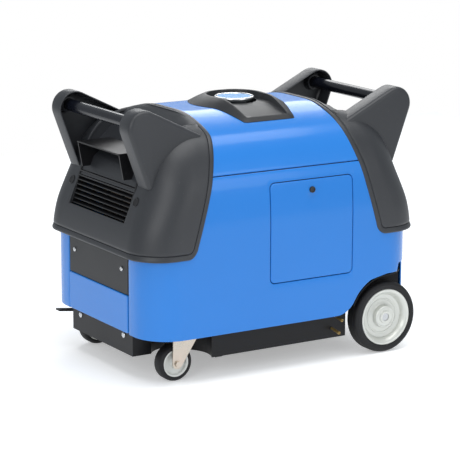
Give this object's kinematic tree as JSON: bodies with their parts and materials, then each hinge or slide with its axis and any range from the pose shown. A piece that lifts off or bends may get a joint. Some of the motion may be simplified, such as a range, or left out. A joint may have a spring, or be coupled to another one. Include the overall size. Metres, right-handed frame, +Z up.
{
  "type": "inverter generator",
  "caption": "Closed-case petrol inverter generator on two big wheels and two casters, with end hoods that carry handle bars, a service door and a control panel.",
  "frame": {"origin": "on the floor under the middle of the case", "axes": "+X towards the control end with the big wheels, -Y towards the service door, +Z up"},
  "size_m": [0.676, 0.451, 0.553],
  "materials": {
    "frame_black": "satin black powder coat",
    "liner_black": "moulded matte",
    "case_blue": "gloss paint",
    "panel_black": "fine texture",
    "hood_grey": "fine grain moulding",
    "louvre_black": "moulded matte",
    "bar_black": "gloss black",
    "seal_rubber": "matte",
    "cap_blue": "gloss with silver rim",
    "tank_steel": "satin",
    "grip_black": "matte",
    "pulley_grey": "matte",
    "axle_steel": "oiled black",
    "tyre_rubber": "matte",
    "rim_white": "silver grey paint",
    "caster_zinc": "yellow passivated zinc",
    "caster_grey": "light grey",
    "socket_black": "gloss",
    "terminal_red": "gloss",
    "lamp_green": "clear tinted",
    "button_red": "gloss",
    "key_chrome": "polished",
    "rocker_red": "gloss",
    "engine_alloy": "as cast",
    "shaft_steel": "ground",
    "rotor_iron": "machined",
    "winding_copper": "enamelled winding",
    "carb_alloy": "die cast",
    "oil_yellow": "gloss",
    "muffler_steel": "heat stained",
    "battery_black": "matte",
    "inverter_alloy": "finned extrusion",
    "spigot_brass": "dull",
    "screw_zinc": "zinc plated"
  },
  "bodies": {
    "chassis": {"base_frame": "frame_black", "arch_liners": "liner_black", "side_panel_near": "case_blue", "side_panel_far": "case_blue", "top_cover": "case_blue", "front_bumper": "case_blue", "front_panel": "panel_black", "rear_bumper": "case_blue", "rear_grille": "panel_black", "exhaust_hood": "hood_grey", "control_hood": "hood_grey", "exhaust_louvre": "louvre_black", "exhaust_visor": "louvre_black", "handle_bars": "bar_black", "cap_surround": "panel_black", "fuel_tank": "tank_steel", "recoil_cup": "panel_black", "fan_shroud": "panel_black", "rear_axle": "axle_steel", "caster_plates": "caster_zinc", "control_panel": "panel_black", "mains_sockets": "socket_black", "dc_terminals": "terminal_red", "pilot_lamps": "lamp_green", "engine_block": "engine_alloy", "cylinder_head": "engine_alloy", "stator": "winding_copper", "carburettor": "carb_alloy", "air_filter_box": "panel_black", "muffler": "muffler_steel", "battery": "battery_black", "inverter_unit": "inverter_alloy", "rubber_mounts": "seal_rubber", "drain_spigots": "spigot_brass", "case_screws": "screw_zinc"},
    "cap_insert": {"cap_seal": "seal_rubber"},
    "cap": {"fuel_cap": "cap_blue"},
    "door": {"service_door": "case_blue"},
    "latch": {"door_latch": "grip_black"},
    "starter_grip": {"recoil_grip": "grip_black"},
    "starter_pulley": {"recoil_pulley": "pulley_grey"},
    "near_wheel": {"near_tyre": "tyre_rubber", "near_rim": "rim_white"},
    "far_wheel": {"far_tyre": "tyre_rubber", "far_rim": "rim_white"},
    "near_swivel": {"near_caster_fork": "caster_zinc"},
    "near_roller": {"near_caster_rim": "caster_grey", "near_caster_tyre": "tyre_rubber"},
    "far_swivel": {"far_caster_fork": "caster_zinc"},
    "far_roller": {"far_caster_rim": "caster_grey", "far_caster_tyre": "tyre_rubber"},
    "brake": {"caster_brake": "bar_black"},
    "breaker": {"breaker_button": "button_red"},
    "key": {"key_switch": "key_chrome"},
    "eco": {"eco_switch": "rocker_red"},
    "choke": {"choke_knob": "grip_black"},
    "cock": {"fuel_cock": "grip_black"},
    "crank": {"crankshaft": "shaft_steel", "flywheel_rotor": "rotor_iron"},
    "oil_cap": {"oil_filler_cap": "oil_yellow"}
  },
  "joints": [
    {"name": "cap_lift", "type": "slide", "parent": "chassis", "child": "cap_insert", "axis": [0, 0, 1], "range_m": [0, 0.06]},
    {"name": "cap_turn", "type": "hinge", "parent": "cap_insert", "child": "cap", "pos_m": [0.004, 0, 0.53], "axis": [0, 0, 1], "range_deg": [0, 340]},
    {"name": "door_swing", "type": "hinge", "parent": "chassis", "child": "door", "pos_m": [0, -0.2224, 0.188], "axis": [1, 0, 0], "range_deg": [0, 95]},
    {"name": "latch_turn", "type": "hinge", "parent": "door", "child": "latch", "pos_m": [0.055, -0.2185, 0.37], "axis": [0, -1, 0], "range_deg": [-90, 0]},
    {"name": "starter_pull", "type": "slide", "parent": "chassis", "child": "starter_grip", "axis": [0, 1, 0], "range_m": [0, 0.34]},
    {"name": "pulley_spin", "type": "hinge", "parent": "chassis", "child": "starter_pulley", "pos_m": [0.142, 0, 0.15], "axis": [1, 0, 0], "range_deg": [-460, 0]},
    {"name": "near_wheel_spin", "type": "hinge", "parent": "chassis", "child": "near_wheel", "pos_m": [0.247, -0.198, 0.076], "axis": [0, 1, 0], "continuous": true},
    {"name": "far_wheel_spin", "type": "hinge", "parent": "chassis", "child": "far_wheel", "pos_m": [0.247, 0.198, 0.076], "axis": [0, 1, 0], "continuous": true},
    {"name": "near_caster_swivel", "type": "hinge", "parent": "chassis", "child": "near_swivel", "pos_m": [-0.219, -0.162, 0.1], "axis": [0, 0, 1], "continuous": true},
    {"name": "near_caster_spin", "type": "hinge", "parent": "near_swivel", "child": "near_roller", "pos_m": [-0.239, -0.162, 0.0375], "axis": [0, 1, 0], "continuous": true},
    {"name": "far_caster_swivel", "type": "hinge", "parent": "chassis", "child": "far_swivel", "pos_m": [-0.219, 0.162, 0.1], "axis": [0, 0, 1], "range_deg": [-120, 6]},
    {"name": "far_caster_spin", "type": "hinge", "parent": "far_swivel", "child": "far_roller", "pos_m": [-0.239, 0.162, 0.0375], "axis": [0, 1, 0], "continuous": true},
    {"name": "brake_press", "type": "hinge", "parent": "far_swivel", "child": "brake", "pos_m": [-0.243, 0.162, 0.088], "axis": [0, 1, 0], "range_deg": [-12, 0]},
    {"name": "breaker_press", "type": "slide", "parent": "chassis", "child": "breaker", "axis": [-0.9219, 0, -0.3875], "range_m": [0, 0.0025], "stiffness_N_per_m": 400},
    {"name": "key_turn", "type": "hinge", "parent": "chassis", "child": "key", "pos_m": [0.29556, 0.088, 0.38438], "axis": [0.9219, 0, 0.3875], "range_deg": [-80, 0]},
    {"name": "eco_rock", "type": "hinge", "parent": "chassis", "child": "eco", "pos_m": [0.29556, 0.056, 0.38438], "axis": [0, 1, 0], "range_deg": [-16, 0]},
    {"name": "choke_pull", "type": "slide", "parent": "chassis", "child": "choke", "axis": [0.9219, 0, 0.3875], "range_m": [0, 0.016]},
    {"name": "cock_turn", "type": "hinge", "parent": "chassis", "child": "cock", "pos_m": [0.29556, -0.046, 0.38438], "axis": [0.9219, 0, 0.3875], "range_deg": [0, 90]},
    {"name": "crank_spin", "type": "hinge", "parent": "chassis", "child": "crank", "pos_m": [0, 0, 0.15], "axis": [1, 0, 0], "continuous": true},
    {"name": "oil_cap_turn", "type": "hinge", "parent": "chassis", "child": "oil_cap", "pos_m": [0, -0.1, 0.189], "axis": [0, -1, 0], "range_deg": [0, 340]}
  ],
  "couplings": [
    {"joint": "pulley_spin", "follows": "starter_pull", "rad_per_m": -22.222}
  ]
}
